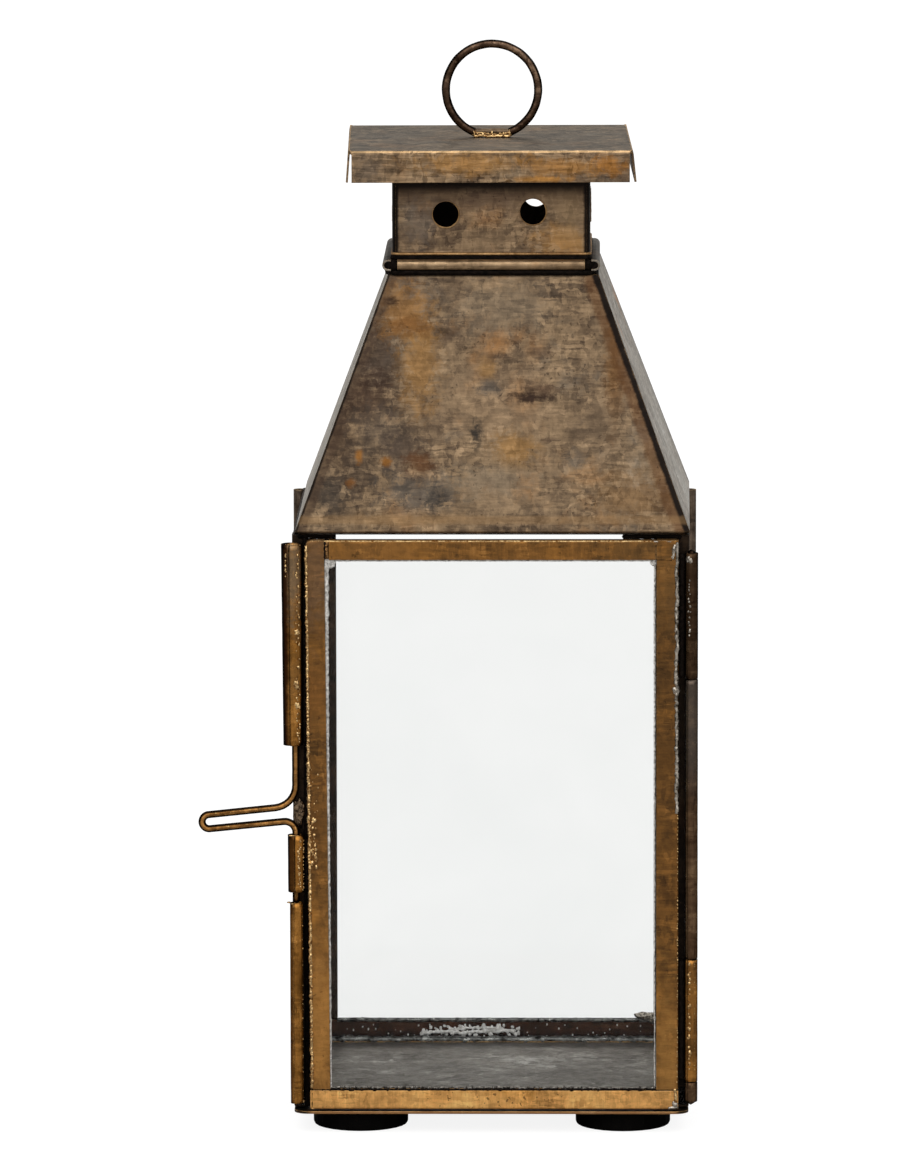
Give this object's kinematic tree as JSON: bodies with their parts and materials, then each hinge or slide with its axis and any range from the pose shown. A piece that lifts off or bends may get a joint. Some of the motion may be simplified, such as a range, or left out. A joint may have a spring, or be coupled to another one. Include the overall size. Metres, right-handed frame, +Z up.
{
  "type": "glass candle lantern",
  "caption": "Small square lantern of aged brass sheet and glass, with a hinged glass door, a wire drop bolt, a sloped roof, a vented chimney and a ring to carry or hang it by.",
  "frame": {"origin": "middle of the candle floor: the centre of the base plate's pressed-down top face, on the lantern's centreline, 5.85 mm above the surface that the feet stand on", "axes": "+Z up through the hanging ring, the door faces -Y, the hinge is on the +X side and the bolt's handle points to -X"},
  "size_m": [0.1389, 0.1135, 0.2999],
  "materials": {
    "aged_brass": "hand-aged golden brown brass, satin",
    "dark_brass": "dark brown patina, satin",
    "grey_brass": "mottled grey-brown patina, satin",
    "bright_solder": "rough bright braze",
    "dark_wire": "dark brown patina on drawn wire",
    "clear_glass": "clear flat pane",
    "black_rubber": "matt black"
  },
  "bodies": {
    "lantern": {"back_bottom_rail": "dark_brass", "back_glass": "clear_glass", "back_stile_left": "dark_brass", "back_stile_right": "dark_brass", "back_top_rail": "dark_brass", "base_plate": "grey_brass", "body_knuckle": "dark_brass", "body_knuckle_foot": "dark_brass", "bolt_keeper": "aged_brass", "cap": "grey_brass", "chimney": "grey_brass", "collar_bead_back": "aged_brass", "collar_bead_front": "aged_brass", "collar_bead_left": "aged_brass", "collar_bead_right": "aged_brass", "foot_front_left": "black_rubber", "foot_front_right": "black_rubber", "foot_rear_left": "black_rubber", "foot_rear_right": "black_rubber", "hanging_ring": "dark_wire", "hinge_pin": "dark_wire", "left_bottom_rail": "dark_brass", "left_glass": "clear_glass", "left_stile_left": "dark_brass", "left_stile_right": "dark_brass", "left_top_rail": "dark_brass", "rear_tube_left": "grey_brass", "rear_tube_right": "grey_brass", "right_bottom_rail": "dark_brass", "right_glass": "clear_glass", "right_stile_left": "dark_brass", "right_stile_right": "dark_brass", "right_top_rail": "dark_brass", "ring_saddle": "bright_solder", "roof_back": "grey_brass", "roof_front": "grey_brass", "roof_left": "grey_brass", "roof_right": "grey_brass"},
    "door": {"door_bottom_rail": "aged_brass", "door_top_rail": "aged_brass", "door_stile_left": "aged_brass", "door_stile_right": "aged_brass", "door_glass": "clear_glass", "door_knuckle_upper": "dark_brass", "door_knuckle_lower": "dark_brass", "bolt_guide_upper": "aged_brass", "bolt_guide_short": "aged_brass"},
    "bolt": {"drop_bolt": "dark_wire"}
  },
  "joints": [
    {"name": "door_hinge", "type": "hinge", "parent": "lantern", "child": "door", "pos_m": [0.0554, -0.0542, 0.08], "axis": [0, 0, 1], "range_deg": [0, 170]},
    {"name": "bolt_slide", "type": "slide", "parent": "door", "child": "bolt", "axis": [0, 0, 1], "range_m": [-0.002, 0.011]}
  ]
}
